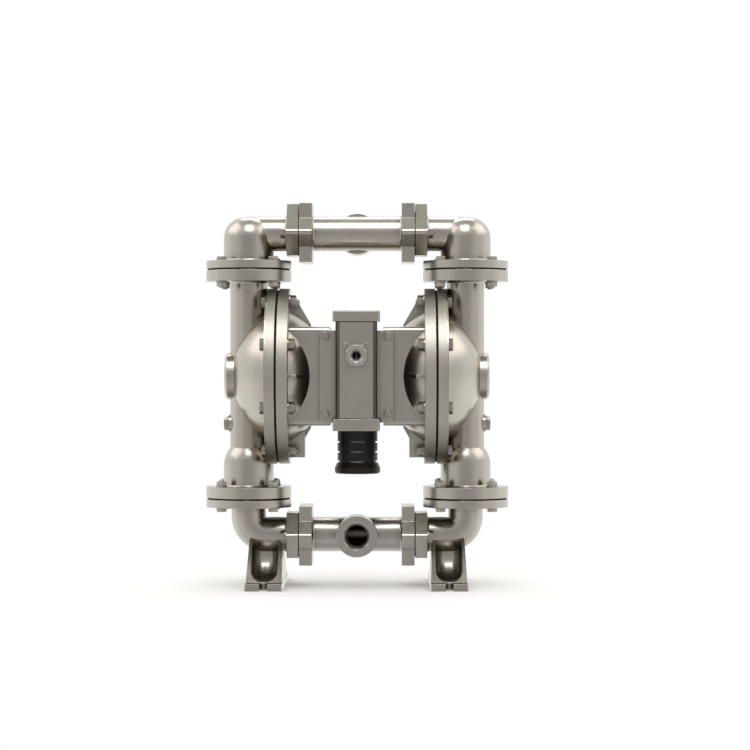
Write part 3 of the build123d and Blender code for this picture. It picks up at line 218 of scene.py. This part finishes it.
def makeRimGroup():
    look = rimLook
    tree, given, result = newGroup(
        "turned rim",
        [("Radius", "value", look["radius"]), ("Axis Height", "value", rodHeight),
         ("Far End", "value", look["farEnd"])],
        [("Mask", "value"), ("Grooves", "value")])
    place = addNode(tree, "TexCoord").outputs["Object"]
    parts = addNode(tree, "SeparateXYZ", {"Vector": place}).outputs
    rise = maths(tree, "SUBTRACT", parts["Z"], given["Axis Height"])
    depthSquared = maths(tree, "MULTIPLY", parts["Y"], parts["Y"])
    reach = maths(tree, "SQRT", maths(tree, "MULTIPLY_ADD", rise, rise, depthSquared))
    gap = maths(tree, "ABSOLUTE", maths(tree, "SUBTRACT", reach, given["Radius"]))
    onRim = maths(tree, "LESS_THAN", gap, look["band"])
    inside = maths(tree, "LESS_THAN", maths(tree, "ABSOLUTE", parts["X"]), given["Far End"])
    along = addNode(tree, "CombineXYZ", {"X": parts["X"]}).outputs[0]
    drift = addNode(tree, "VectorMath", {"Vector": place, "Scale": look["drift"]},
                    operation="SCALE").outputs[0]
    mixed = addNode(tree, "VectorMath", {0: along, 1: drift}, operation="ADD").outputs[0]
    grooves = addNode(tree, "TexNoise", {"Vector": mixed, "Scale": look["grooves"], "Detail": look["detail"]})
    mask = maths(tree, "MULTIPLY", onRim, inside)
    tree.links.new(mask, result["Mask"])
    tree.links.new(maths(tree, "MULTIPLY", mask, grooves.outputs["Fac"]), result["Grooves"])
    return tree


# Faces that turn to the left or right: a mask for painted shade that makes them darker than the front beside
# them.
def makeFlankGroup():
    tree, given, result = newGroup(
        "painted side shade", [("From", "value", 0.03), ("To", "value", 0.14)], [("Mask", "value")])
    normal = addNode(tree, "NewGeometry").outputs["Normal"]
    turn = addNode(tree, "SeparateXYZ", {"Vector": normal}).outputs["X"]
    tree.links.new(remap(tree, maths(tree, "ABSOLUTE", turn), given["From"], given["To"]), result["Mask"])
    return tree


edgeGroup = makeEdgeGroup()
skinGroup = makeSkinGroup()
scratchGroup = makeScratchGroup()
rimGroup = makeRimGroup()
flankGroup = makeFlankGroup()


# What every finish starts with: the edges, the skin, and the skin's colour with lighter edges, which are
# partly wear and partly painted highlight.
def startMaterial(name, look):
    material = bpy.data.materials.new(name)
    material.use_nodes = True
    tree = material.node_tree
    edges = useGroup(tree, edgeGroup, Gain=look["edgeGain"], Reach=look.get("reach", edgeLook["reach"]),
                     Open_Share=look.get("openShare", edgeLook["openShare"]))
    skin = useGroup(tree, skinGroup, Light=opaque(look["light"]), Dark=opaque(look["dark"]),
                    Mottle_Scale=look["mottle"], Grain_Scale=look["grain"], Wave_Height=look["waves"],
                    Smoothest=look["smooth"], Roughest=look["rough"])
    # Lighter edges: partly wear, partly painted highlight.
    wornAndLitEdges = mixColours(tree, edges["Edge"], skin["Color"], opaque(look["edge"]))
    return material, edges, skin, wornAndLitEdges


def finishMaterial(material, look, edges, colour, roughness, height):
    tree = material.node_tree
    shader = tree.nodes["Principled BSDF"]
    bump = addNode(tree, "Bump", {"Height": height, "Normal": edges["Normal"],
                                  "Strength": look["bump"], "Distance": look["bumpDepth"]})
    tree.links.new(colour, shader.inputs["Base Color"])
    tree.links.new(roughness, shader.inputs["Roughness"])
    tree.links.new(bump.outputs[0], shader.inputs["Normal"])
    return shader


def metalMaterial(name, look):
    material, edges, skin, wornAndLitEdges = startMaterial(name, look)
    tree = material.node_tree
    scratches = useGroup(tree, scratchGroup, Scale=look["scratchScale"], Amount=look["scratches"])
    scratched = mixColours(tree, scratches["Mask"], wornAndLitEdges, opaque(look["edge"]))
    # Painted shade: corners and recesses are darkened by the corner mask.
    withPaintedShade = mixColours(tree, edges["Painted Shade"], scratched, opaque(look["paintedShade"]))
    shine = maths(tree, "MULTIPLY_ADD", scratches["Mask"], scratchLook["polish"], skin["Roughness"])
    height = skin["Height"]
    # Painted shade on faces that turn to the side.
    if "flankShade" in look:
        flanks = useGroup(tree, flankGroup)
        withPaintedShade = mixColours(tree, flanks["Mask"], withPaintedShade, opaque(look["flankShade"]))
    if "rimRough" in look:
        rim = useGroup(tree, rimGroup)
        shine = maths(tree, "MULTIPLY_ADD", rim["Mask"], look["rimRough"], shine)
        height = maths(tree, "MULTIPLY_ADD", rim["Grooves"], look["rimGrooves"], height)
    # Painted shade: the colour is darkened for glossy rays, so metal seen in the reflection of other metal
    # looks darker.
    inner = addNode(tree, "LightPath").outputs["Is Glossy Ray"]    # metal seen in other metal is darker
    seen = mixColours(tree, inner, withPaintedShade, opaque(look["reflectedShade"]), blend="MULTIPLY")
    shader = finishMaterial(material, look, edges, seen, shine, height)
    shader.inputs["Metallic"].default_value = look["metallic"]
    return material


def plasticMaterial(name, look):
    material, edges, skin, wornAndLitEdges = startMaterial(name, look)
    # Painted shade: corners and recesses are darkened by the corner mask.
    shaded = mixColours(material.node_tree, edges["Painted Shade"], wornAndLitEdges, opaque(look["paintedShade"]))
    shader = finishMaterial(material, look, edges, shaded, skin["Roughness"], skin["Height"])
    shader.inputs["Specular IOR Level"].default_value = look["gloss"]
    return material


# In each look, the edge colour is partly painted highlight, the corner colour is painted shade, and the
# second tone is the painted shade of metal seen in reflections.
castStainless = {"light": (0.5, 0.47, 0.43), "dark": (0.465, 0.437, 0.4), "edge": (0.62, 0.59, 0.54),
                 "paintedShade": (0.32, 0.29, 0.255), "reflectedShade": (0.66, 0.635, 0.6),
                 "mottle": 24.0, "grain": 1300.0, "waves": 0.35, "smooth": 0.25, "rough": 0.285,
                 "scratchScale": 22.0, "scratches": 0.015, "edgeGain": 1.6, "metallic": 1.0,
                 "bump": 0.1, "bumpDepth": 0.0005}
boltSteel = {"light": (0.47, 0.45, 0.42), "dark": (0.39, 0.37, 0.34), "edge": (0.6, 0.58, 0.54),
             "paintedShade": (0.16, 0.145, 0.125), "reflectedShade": (0.5, 0.48, 0.46),
             "mottle": 90.0, "grain": 1500.0, "waves": 0.3, "smooth": 0.26, "rough": 0.38,
             "scratchScale": 60.0, "scratches": 0.3, "edgeGain": 2.5, "metallic": 1.0,
             "bump": 0.12, "bumpDepth": 0.0003}
turnedSteel = {"light": (0.72, 0.71, 0.69), "dark": (0.64, 0.63, 0.61), "edge": (0.85, 0.84, 0.82),
               "paintedShade": (0.03, 0.028, 0.025), "reflectedShade": (0.6, 0.6, 0.6),
               "mottle": 60.0, "grain": 1800.0, "waves": 0.1, "smooth": 0.12, "rough": 0.22,
               "scratchScale": 80.0, "scratches": 0.2, "edgeGain": 2.0, "metallic": 1.0,
               "bump": 0.05, "bumpDepth": 0.0003}
platedSteel = {"light": (0.66, 0.66, 0.64), "dark": (0.55, 0.56, 0.55), "edge": (0.78, 0.78, 0.76),
               "paintedShade": (0.25, 0.25, 0.23), "reflectedShade": (0.6, 0.6, 0.6),
               "mottle": 70.0, "grain": 1400.0, "waves": 0.3, "smooth": 0.25, "rough": 0.38,
               "scratchScale": 50.0, "scratches": 0.3, "edgeGain": 2.0, "metallic": 1.0,
               "bump": 0.1, "bumpDepth": 0.0004}
sinteredBronze = {"light": (0.66, 0.44, 0.22), "dark": (0.48, 0.3, 0.14), "edge": (0.8, 0.58, 0.32),
                  "paintedShade": (0.2, 0.12, 0.06), "reflectedShade": (0.6, 0.55, 0.5),
                  "mottle": 120.0, "grain": 2400.0, "waves": 0.2, "smooth": 0.3, "rough": 0.45,
                  "scratchScale": 60.0, "scratches": 0.2, "edgeGain": 2.0, "metallic": 1.0,
                  "bump": 0.3, "bumpDepth": 0.0004}
blackRubber = {"light": (0.018, 0.0175, 0.016), "dark": (0.01, 0.01, 0.009), "edge": (0.03, 0.03, 0.028),
               "paintedShade": (0.002, 0.002, 0.002), "gloss": 0.12,
               "mottle": 60.0, "grain": 1600.0, "waves": 0.3, "smooth": 0.55, "rough": 0.75,
               "edgeGain": 1.0, "bump": 0.2, "bumpDepth": 0.0004}
blackPlastic = {"light": (0.02, 0.0185, 0.0175), "dark": (0.011, 0.01, 0.0095), "edge": (0.05, 0.047, 0.044),
                "paintedShade": (0.002, 0.002, 0.002), "gloss": 0.3,
                "mottle": 40.0, "grain": 1300.0, "waves": 0.3, "smooth": 0.34, "rough": 0.5,
                "edgeGain": 1.0, "bump": 0.15, "bumpDepth": 0.0004}
porousPlastic = {"light": (0.85, 0.83, 0.8), "dark": (0.6, 0.58, 0.55), "edge": (0.9, 0.88, 0.85),
                 "paintedShade": (0.6, 0.58, 0.55), "gloss": 0.3,
                 "mottle": 150.0, "grain": 1400.0, "waves": 0.2, "smooth": 0.6, "rough": 0.85,
                 "edgeGain": 0.5, "bump": 0.6, "bumpDepth": 0.0008}
whitePtfe = {"light": (0.86, 0.86, 0.83), "dark": (0.78, 0.78, 0.75), "edge": (0.9, 0.9, 0.88),
             "paintedShade": (0.5, 0.49, 0.46), "gloss": 0.5,
             "mottle": 30.0, "grain": 1200.0, "waves": 0.2, "smooth": 0.35, "rough": 0.5,
             "edgeGain": 0.5, "bump": 0.05, "bumpDepth": 0.0003}

finishes = {
    "cast_stainless": metalMaterial("castStainless", castStainless),
    "stainless_fasteners": metalMaterial("boltSteel", boltSteel),
    "turned_stainless": metalMaterial("turnedSteel", turnedSteel),
    "plated_steel": metalMaterial("platedSteel", platedSteel),
    "bronze": metalMaterial("sinteredBronze", sinteredBronze),
    "black_rubber": plasticMaterial("blackRubber", blackRubber),
    "black_plastic": plasticMaterial("blackPlastic", blackPlastic),
    "porous_plastic": plasticMaterial("porousPlastic", porousPlastic),
    "white_ptfe": plasticMaterial("whitePtfe", whitePtfe),
}

# Castings with a finish of their own: turned rims; outer domes with lighter painted shade in corners and in
# reflections; a valve body with painted shade on its sides; pipe bores with deep painted shade; an inlet with
# lighter edges of painted highlight.
turnedFlangeCast = dict(castStainless, rimRough=0.16, rimGrooves=2.5)
outerDomeCast = dict(turnedFlangeCast, paintedShade=(0.42, 0.39, 0.35), reflectedShade=(0.86, 0.83, 0.79))
valveCast = dict(castStainless, flankShade=(0.13, 0.115, 0.1))
manifoldCast = dict(castStainless, paintedShade=(0.06, 0.05, 0.042), reach=0.06, openShare=0.55)
inletCast = dict(castStainless, edge=(0.7, 0.67, 0.62), edgeGain=2.2)
special = {"air_valve_body": metalMaterial("valveCast", valveCast),
           "air_inlet_adapter": metalMaterial("inletCast", inletCast)}
manifoldFinish = metalMaterial("manifoldCast", manifoldCast)
flangeFinish = metalMaterial("turnedFlangeCast", turnedFlangeCast)
outerDomeFinish = metalMaterial("outerDomeCast", outerDomeCast)
special["suction_manifold"] = special["discharge_manifold"] = manifoldFinish
for side in ("left", "right"):
    special["outer_chamber_" + side] = outerDomeFinish
    special["inner_chamber_" + side] = flangeFinish
for part in frame["record"]["subparts"]:
    mesh = nodes[part["node"]].data
    mesh.materials.clear()
    mesh.materials.append(special.get(part["node"], finishes[part["material_slot"]]))
print("finishes:", len(finishes) + len(special))


# Skins a row of rings of points: closed into a loop, or capped at both ends.
def joinRings(shape, rings, closed=False):
    following = rings[1:] + rings[:1] if closed else rings[1:]
    for first, second in zip(rings, following):
        for a in range(len(first)):
            b = (a + 1) % len(first)
            shape.faces.new((first[a], first[b], second[b], second[a]))
    if not closed:
        shape.faces.new(rings[0])
        shape.faces.new(list(reversed(rings[-1])))


def newPiece(name, shape, slot, smooth=False):
    bmesh.ops.recalc_face_normals(shape, faces=shape.faces)
    mesh = bpy.data.meshes.new(name)
    shape.to_mesh(mesh)
    shape.free()
    for face in mesh.polygons:
        face.use_smooth = smooth
    mesh.materials.append(finishes[slot])
    piece = bpy.data.objects.new(name, mesh)
    bpy.context.scene.collection.objects.link(piece)
    return piece


# Thread ridges: one helical ridge that stands out of a bore's wall and fades at both ends.
# Foot and top are half widths as shares of the pitch, and fade is in turns.
threadForm = {"foot": 0.46, "top": 0.08, "fade": 0.5}
portThread = {"wall": 0.02252, "crest": 0.0214, "pitch": 0.0023,
              "length": 0.023, "start": 0.0455, "steps": 72}
inletThread = {"wall": 0.00932, "crest": 0.0086, "pitch": 0.0018,
               "length": 0.0092, "start": 0.1348, "steps": 48}


def makeThread(name, way, height, look):
    axis = Vector((0, way, 0))
    centre = Vector((0, way * look["start"], height))
    side = axis.orthogonal().normalized()
    other = axis.cross(side)
    steps, pitch, wall = look["steps"], look["pitch"], look["wall"]
    foot, top = threadForm["foot"], threadForm["top"]
    fadeSteps = steps * threadForm["fade"]
    count = int((look["length"] / pitch - 1.0) * steps)
    shape = bmesh.new()
    rings = []
    for step in range(count + 1):
        angle = 2 * math.pi * step / steps
        along = pitch * (step / steps + 0.5)
        crest = wall + (look["crest"] - wall) * min(1.0, step / fadeSteps, (count - step) / fadeSteps)
        out = side * math.cos(angle) + other * math.sin(angle)
        rings.append([shape.verts.new(centre + axis * (along + offset * pitch) + out * reach)
                      for reach, offset in ((wall, -foot), (crest, -top), (crest, top), (wall, foot))])
    joinRings(shape, rings)
    piece = newPiece(name, shape, "cast_stainless")
    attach(piece, "housing")


makeThread("suctionThread", -1, suctionHeight, portThread)
makeThread("dischargeThread", 1, dischargeHeight, portThread)
makeThread("inletThread", -1, inletHeight, inletThread)
print("threads made")

# Turned lips: the bead on the air inlet's ring and the broken edge at the mouth of each pipe port.
# A profile is a closed loop of radius and height over the face.
portLip = {"face": 0.07, "steps": 72, "profile": (
    (0.0226, -0.0029), (0.0226, -0.00175), (0.0228, -0.0016), (0.0248, -0.0003),
    (0.0252, 0.0001), (0.0258, 0.0001), (0.026, -0.0006), (0.0256, -0.0029))}
inletBead = {"face": 0.1465, "steps": 72, "profile": (
    (0.0094, -0.0024), (0.0094, -0.00155), (0.00965, -0.0014), (0.0114, -0.0004), (0.0118, 0.0004),
    (0.0126, 0.0008), (0.0136, 0.0004), (0.0144, 0.0001), (0.0158, 0.0001), (0.0168, 0.0005),
    (0.0178, 0.0008), (0.0187, 0.0004), (0.01915, -0.0005), (0.0192, -0.0016), (0.0186, -0.0018))}


def makeTurnedLip(name, way, height, look):
    shape = bmesh.new()
    rings = []
    for step in range(look["steps"]):
        angle = 2 * math.pi * step / look["steps"]
        across, up = math.cos(angle), math.sin(angle)
        rings.append([shape.verts.new((reach * across, way * (look["face"] + rise), height + reach * up))
                      for reach, rise in look["profile"]])
    joinRings(shape, rings, closed=True)
    piece = newPiece(name, shape, "cast_stainless", smooth=True)
    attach(piece, "housing")


makeTurnedLip("inletBead", -1, inletHeight, inletBead)
makeTurnedLip("suctionLip", -1, suctionHeight, portLip)
makeTurnedLip("dischargeLip", 1, dischargeHeight, portLip)
print("turned lips made")

# Parting ridge of the mould along the middle of each inner dome, in front and behind.
# Root is how deep its foot is sunk in the dome, foot and crest are half widths, and fade is the slope
# of its ends.
partingRidge = {"domeX": 0.1857, "domeR": 0.135, "fromX": 0.1198, "toX": 0.0815,
                "root": 0.0006, "stand": 0.0014, "foot": 0.002, "crest": 0.0005, "fade": 8, "steps": 24}


def makePartingRidge(name, side, face):
    look = partingRidge
    start = math.acos((look["domeX"] - look["fromX"]) / look["domeR"])
    end = math.acos((look["domeX"] - look["toX"]) / look["domeR"])
    foot, crest = look["foot"], look["crest"]
    shape = bmesh.new()
    rings = []
    for step in range(look["steps"] + 1):
        share = step / look["steps"]
        angle = start + (end - start) * share
        stand = look["stand"] * min(1.0, look["fade"] * share, look["fade"] * (1 - share))
        ring = []
        for rise, half in ((-look["root"], -foot), (stand, -crest), (stand, crest), (-look["root"], foot)):
            reach = look["domeR"] + rise
            ring.append(shape.verts.new((side * (look["domeX"] - reach * math.cos(angle)),
                                         face * reach * math.sin(angle), rodHeight + half)))
        rings.append(ring)
    joinRings(shape, rings)
    piece = newPiece(name, shape, "cast_stainless")
    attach(piece, "housing")


for side, word in ((-1, "Left"), (1, "Right")):
    makePartingRidge("partingRidgeFront" + word, side, -1)
    makePartingRidge("partingRidgeBack" + word, side, 1)
print("parting ridges made")

# Rubber diaphragms, cut into sectors that reach from the rim that the flanges hold to the plates on the rod.
# The radii mark the outer and inner end of the diaphragm's fold.
diaphragmFold = {"outerRadius": 0.112, "innerRadius": 0.089, "sectors": 12,
                 "merge": 0.000001, "sharpAngle": 35}


def cutSector(source, first, last):
    shape = bmesh.new()
    shape.from_mesh(source.data)
    shape.transform(source.matrix_world)
    bmesh.ops.remove_doubles(shape, verts=shape.verts, dist=diaphragmFold["merge"])
    for angle, way in ((first, 1), (last, -1)):
        across = Vector((0, -math.sin(angle), math.cos(angle))) * way
        bmesh.ops.bisect_plane(shape, geom=shape.verts[:] + shape.edges[:] + shape.faces[:],
                               plane_co=(0, 0, rodHeight), plane_no=across, clear_inner=True)
        bmesh.ops.holes_fill(shape, edges=[edge for edge in shape.edges if edge.is_boundary], sides=0)
    return shape


def makeDiaphragm(node, word):
    look = diaphragmFold
    half = math.pi / look["sectors"]
    for index in range(look["sectors"]):
        middle = 2 * half * index
        shape = cutSector(nodes[node], middle - half, middle + half)
        piece = newPiece("diaphragm%sSector%02d" % (word, index + 1), shape, "black_rubber", smooth=True)
        piece.data.set_sharp_from_angle(angle=math.radians(look["sharpAngle"]))
        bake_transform(piece)
        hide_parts(node)


makeDiaphragm("diaphragm_left", "Left")
makeDiaphragm("diaphragm_right", "Right")
print("diaphragms made")

# Floor: lit near the pump, glowing further out, with a painted shadow that is darker where the feet stand
# close to it.
floorLook = {"size": 6.0, "cells": 8, "sink": 0.0004, "tone": (0.9, 0.8865, 0.8775), "rough": 0.8,
             "glowNear": 0.62, "fade": (0.35, 1.1), "contactReach": 0.3, "contactSamples": 16,
             "contactTones": ((0.0, (0.3, 0.28, 0.26)), (0.55, (0.74, 0.72, 0.7)), (0.95, (1, 1, 1)))}


def makeFloor():
    look = floorLook
    shape = bmesh.new()
    bmesh.ops.create_grid(shape, x_segments=look["cells"], y_segments=look["cells"], size=look["size"])
    mesh = bpy.data.meshes.new("studioFloor")
    shape.to_mesh(mesh)
    shape.free()
    floor = bpy.data.objects.new("studioFloor", mesh)
    bpy.context.scene.collection.objects.link(floor)
    floor.location = (0, 0, -look["sink"])
    material = bpy.data.materials.new("paleFloor")
    material.use_nodes = True
    tree = material.node_tree
    shader = tree.nodes["Principled BSDF"]
    shader.inputs["Base Color"].default_value = opaque(look["tone"])
    shader.inputs["Roughness"].default_value = look["rough"]
    shader.inputs["Specular IOR Level"].default_value = 0.0
    place = addNode(tree, "TexCoord").outputs["Object"]
    reach = addNode(tree, "VectorMath", {"Vector": place}, operation="LENGTH").outputs["Value"]
    share = remap(tree, reach, *look["fade"], look["glowNear"], 1.0)
    # Painted shadow: ambient occlusion darkens the floor's glow near the feet and body.
    under = addNode(tree, "AmbientOcclusion", {"Distance": look["contactReach"]},
                    samples=look["contactSamples"])
    contact = addRamp(tree, under.outputs["AO"], look["contactTones"])
    glow = addNode(tree, "Emission", {"Color": contact, "Strength": 1.0})
    blend = addNode(tree, "MixShader", {"Fac": share, 1: shader.outputs[0], 2: glow.outputs[0]})
    tree.links.new(blend.outputs[0], tree.nodes["Material Output"].inputs["Surface"])
    mesh.materials.append(material)
    floor.visible_glossy = False


# Room that the metal reflects: walls from the camera's side to the back, dimmer low down, greenish overhead.
# The camera itself sees plain white.
roomLook = {
    "walls": ((0.0, (0.475, 0.465, 0.45)), (0.06, (0.52, 0.51, 0.49)), (0.12, (0.72, 0.705, 0.68)),
              (0.41, (0.82, 0.81, 0.79)), (0.59, (1.06, 1.05, 1.02)), (1.0, (1.06, 1.06, 1.04))),
    "heights": ((0.0, (0.6, 0.6, 0.6)), (0.1, (0.92, 0.92, 0.92)), (0.28, (1.1, 1.1, 1.1)),
                (0.42, (1.18, 1.18, 1.18)), (0.5, (1, 1, 1)), (1.0, (1, 1, 1))),
    "overhead": (0.5, 0.535, 0.46), "overheadRange": (0.75, 0.93)}


def makeWorld():
    look = roomLook
    world = bpy.data.worlds.new("studio")
    bpy.context.scene.world = world
    world.use_nodes = True
    tree = world.node_tree
    tree.nodes.clear()
    way = addNode(tree, "TexCoord").outputs["Generated"]
    parts = addNode(tree, "SeparateXYZ", {"Vector": way}).outputs
    walls = addRamp(tree, remap(tree, parts["Y"], -1.0, 1.0), look["walls"])
    heights = addRamp(tree, remap(tree, parts["Z"], -1.0, 1.0), look["heights"])
    lit = mixColours(tree, 1.0, walls, heights, blend="MULTIPLY")
    seen = mixColours(tree, remap(tree, parts["Z"], *look["overheadRange"]), lit, opaque(look["overhead"]))
    reflected = addNode(tree, "Background", {"Color": seen})
    plain = addNode(tree, "Background", {"Color": (1, 1, 1, 1), "Strength": 1.0})
    camera = addNode(tree, "LightPath").outputs["Is Camera Ray"]
    blend = addNode(tree, "MixShader", {"Fac": camera, 1: reflected.outputs[0], 2: plain.outputs[0]})
    addNode(tree, "OutputWorld", {"Surface": blend.outputs[0]})


# Soft lights: place, size, brightness of the surface, and tint. All face the middle of the pump.
lightTarget = (0, 0, 0.4)
softboxes = {
    "overheadSoftbox": {"place": (0.0, -1.5, 2.8), "size": (1.3, 1.45),
                        "glow": 4.4, "tint": (1, 0.995, 0.97)},
    "rearSoftbox": {"place": (0.0, 1.65, 2.95), "size": (1.9, 0.9),
                    "glow": 3.2, "tint": (0.98, 1, 0.96)},
    "leftSoftbox": {"place": (-2.4, -0.1, 2.5), "size": (2.9, 2.2),
                    "glow": 1.15, "tint": (1, 0.93, 0.9)},
    "rightSoftbox": {"place": (2.4, -0.1, 2.5), "size": (2.9, 2.2),
                     "glow": 1.15, "tint": (1, 0.93, 0.9)},
}


def makeSoftbox(name, look):
    width, depth = look["size"]
    data = bpy.data.lights.new(name, "AREA")
    data.shape = "RECTANGLE"
    data.size, data.size_y = width, depth
    data.energy = look["glow"] * math.pi * width * depth
    data.color = look["tint"]
    lamp = bpy.data.objects.new(name, data)
    bpy.context.scene.collection.objects.link(lamp)
    lamp.location = look["place"]
    lamp.rotation_euler = (Vector(lightTarget) - Vector(look["place"])).to_track_quat("-Z", "Y").to_euler()


makeFloor()
makeWorld()
for name, look in softboxes.items():
    makeSoftbox(name, look)

# Camera at the photograph's angle, level and straight from the front
cameraSetup = {"place": (0.0536, -4.32, 0.3865), "lens": 115.2, "sensor": 36.0,
               "shiftX": -0.016, "shiftY": -0.0067, "tilt": 90}
cameraData = bpy.data.cameras.new("photoCamera")
cameraData.lens = cameraSetup["lens"]
cameraData.sensor_width = cameraSetup["sensor"]
cameraData.shift_x = cameraSetup["shiftX"]
cameraData.shift_y = cameraSetup["shiftY"]
camera = bpy.data.objects.new("photoCamera", cameraData)
camera.location = cameraSetup["place"]
camera.rotation_euler = (math.radians(cameraSetup["tilt"]), 0, 0)
bpy.context.scene.collection.objects.link(camera)
bpy.context.scene.camera = camera
bpy.context.scene.view_settings.view_transform = "Standard"
print("studio made")
